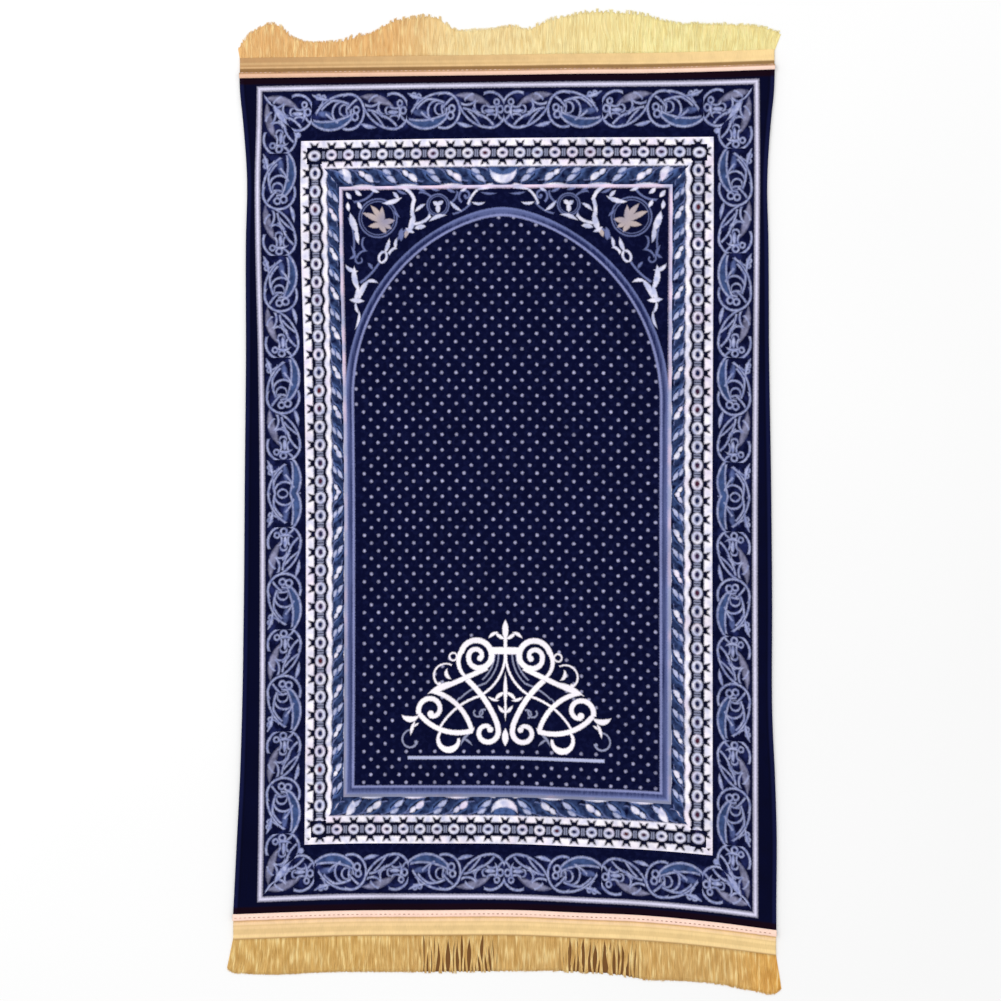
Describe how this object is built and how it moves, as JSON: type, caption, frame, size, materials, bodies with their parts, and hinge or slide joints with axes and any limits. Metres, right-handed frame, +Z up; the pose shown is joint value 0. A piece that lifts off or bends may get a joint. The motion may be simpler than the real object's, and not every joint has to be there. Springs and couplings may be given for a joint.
{
  "type": "prayer rug",
  "caption": "Flat rectangular pile prayer rug with a pointed niche, banded borders and a gold fringe trim sewn over each end.",
  "frame": {"origin": "on the underside, below the middle of the whole outline with its fringes", "axes": "+Y along the rug towards the niche end, +X to the right as seen from above with the niche away, +Z up out of the pile"},
  "size_m": [0.7326, 1.3044, 0.007],
  "materials": {
    "pile_cloth": "short soft pile, dark navy ground with a white, blue and lavender pattern",
    "gold_trim": "gold rayon tape with a pale rolled lip and loose strands, soft sheen"
  },
  "bodies": {
    "root": {"rug_cloth": "pile_cloth", "fringe_niche_end": "gold_trim", "fringe_foot_end": "gold_trim"}
  },
  "joints": []
}
